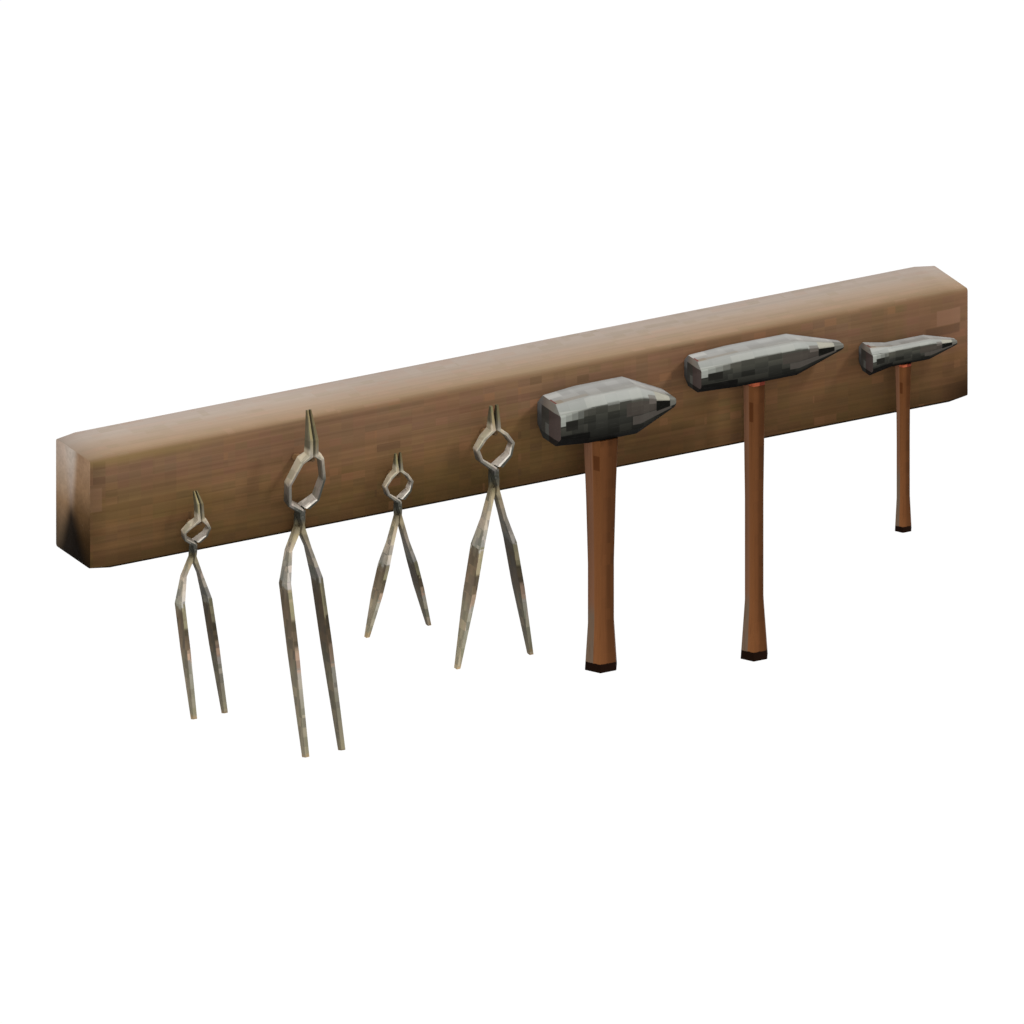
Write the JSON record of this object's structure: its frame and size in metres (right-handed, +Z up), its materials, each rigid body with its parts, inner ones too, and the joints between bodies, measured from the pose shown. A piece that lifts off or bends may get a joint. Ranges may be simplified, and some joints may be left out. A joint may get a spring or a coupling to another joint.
{
  "type": "forge tool rack",
  "caption": "Wall-mounted timber beam whose steel pegs carry riveted bow tongs that open and close and cross-peen hammers with wooden handles, all free to lift off.",
  "frame": {"origin": "centre of the beam's back face, on the wall plane", "axes": "+X along the beam, towards the hammers; +Y into the wall; +Z up"},
  "size_m": [1.102, 0.1568, 0.4033],
  "materials": {
    "timber": "aged, rubbed with oil",
    "peg_steel": "dark drawn bar",
    "tongs_iron": "forged, worn bright in places",
    "rivet_iron": "peened, worn",
    "head_steel": "ground facets, dulled",
    "handle_wood": "varnished, with a dark dipped end",
    "wedge_steel": "plain",
    "red_collar": "satin red"
  },
  "bodies": {
    "rack": {"beam": "timber", "tongs_1_peg": "peg_steel", "tongs_2_peg": "peg_steel", "tongs_3_peg": "peg_steel", "tongs_4_peg": "peg_steel", "hammer_1_left_peg": "peg_steel", "hammer_1_right_peg": "peg_steel", "hammer_2_left_peg": "peg_steel", "hammer_2_right_peg": "peg_steel", "hammer_3_left_peg": "peg_steel", "hammer_3_right_peg": "peg_steel"},
    "tongs_1": {"tongs_1_front_half": "tongs_iron", "tongs_1_rivet": "rivet_iron"},
    "tongs_1_swing": {"tongs_1_back_half": "tongs_iron"},
    "tongs_2": {"tongs_2_front_half": "tongs_iron", "tongs_2_rivet": "rivet_iron"},
    "tongs_2_swing": {"tongs_2_back_half": "tongs_iron"},
    "tongs_3": {"tongs_3_front_half": "tongs_iron", "tongs_3_rivet": "rivet_iron"},
    "tongs_3_swing": {"tongs_3_back_half": "tongs_iron"},
    "tongs_4": {"tongs_4_back_half": "tongs_iron", "tongs_4_rivet": "rivet_iron"},
    "tongs_4_swing": {"tongs_4_front_half": "tongs_iron"},
    "hammer_1": {"hammer_1_head": "head_steel", "hammer_1_handle": "handle_wood", "hammer_1_wedge": "wedge_steel"},
    "hammer_2": {"hammer_2_head": "head_steel", "hammer_2_handle": "handle_wood", "hammer_2_wedge": "wedge_steel", "hammer_2_collar": "red_collar"},
    "hammer_3": {"hammer_3_head": "head_steel", "hammer_3_handle": "handle_wood", "hammer_3_wedge": "wedge_steel", "hammer_3_collar": "red_collar"}
  },
  "joints": [
    {"name": "tongs_1_lift", "type": "slide", "parent": "rack", "child": "tongs_1", "axis": [0, -0.9397, 0.342], "range_m": [0, 0.12]},
    {"name": "tongs_1_open", "type": "hinge", "parent": "tongs_1", "child": "tongs_1_swing", "pos_m": [-0.4283, -0.09476, -0.0575], "axis": [0, 0.989, 0.1478], "range_deg": [0, 25]},
    {"name": "tongs_2_lift", "type": "slide", "parent": "rack", "child": "tongs_2", "axis": [0, -0.9397, 0.342], "range_m": [0, 0.12]},
    {"name": "tongs_2_open", "type": "hinge", "parent": "tongs_2", "child": "tongs_2_swing", "pos_m": [-0.2953, -0.09669, -0.0429], "axis": [0, 0.9903, 0.1389], "range_deg": [0, 20]},
    {"name": "tongs_3_lift", "type": "slide", "parent": "rack", "child": "tongs_3", "axis": [0, -0.9397, 0.342], "range_m": [0, 0.12]},
    {"name": "tongs_3_open", "type": "hinge", "parent": "tongs_3", "child": "tongs_3_swing", "pos_m": [-0.176, -0.1036, -0.05175], "axis": [0, 1, 0], "range_deg": [0, 18]},
    {"name": "tongs_4_lift", "type": "slide", "parent": "rack", "child": "tongs_4", "axis": [0, -0.9397, 0.342], "range_m": [0, 0.12]},
    {"name": "tongs_4_open", "type": "hinge", "parent": "tongs_4", "child": "tongs_4_swing", "pos_m": [-0.0589, -0.1101, -0.0352], "axis": [0, -1, 0], "range_deg": [0, 15]},
    {"name": "hammer_1_lift", "type": "slide", "parent": "rack", "child": "hammer_1", "axis": [0, -0.9397, 0.342], "range_m": [0, 0.12]},
    {"name": "hammer_2_lift", "type": "slide", "parent": "rack", "child": "hammer_2", "axis": [0, -0.9397, 0.342], "range_m": [0, 0.12]},
    {"name": "hammer_3_lift", "type": "slide", "parent": "rack", "child": "hammer_3", "axis": [0, -0.9397, 0.342], "range_m": [0, 0.12]}
  ]
}
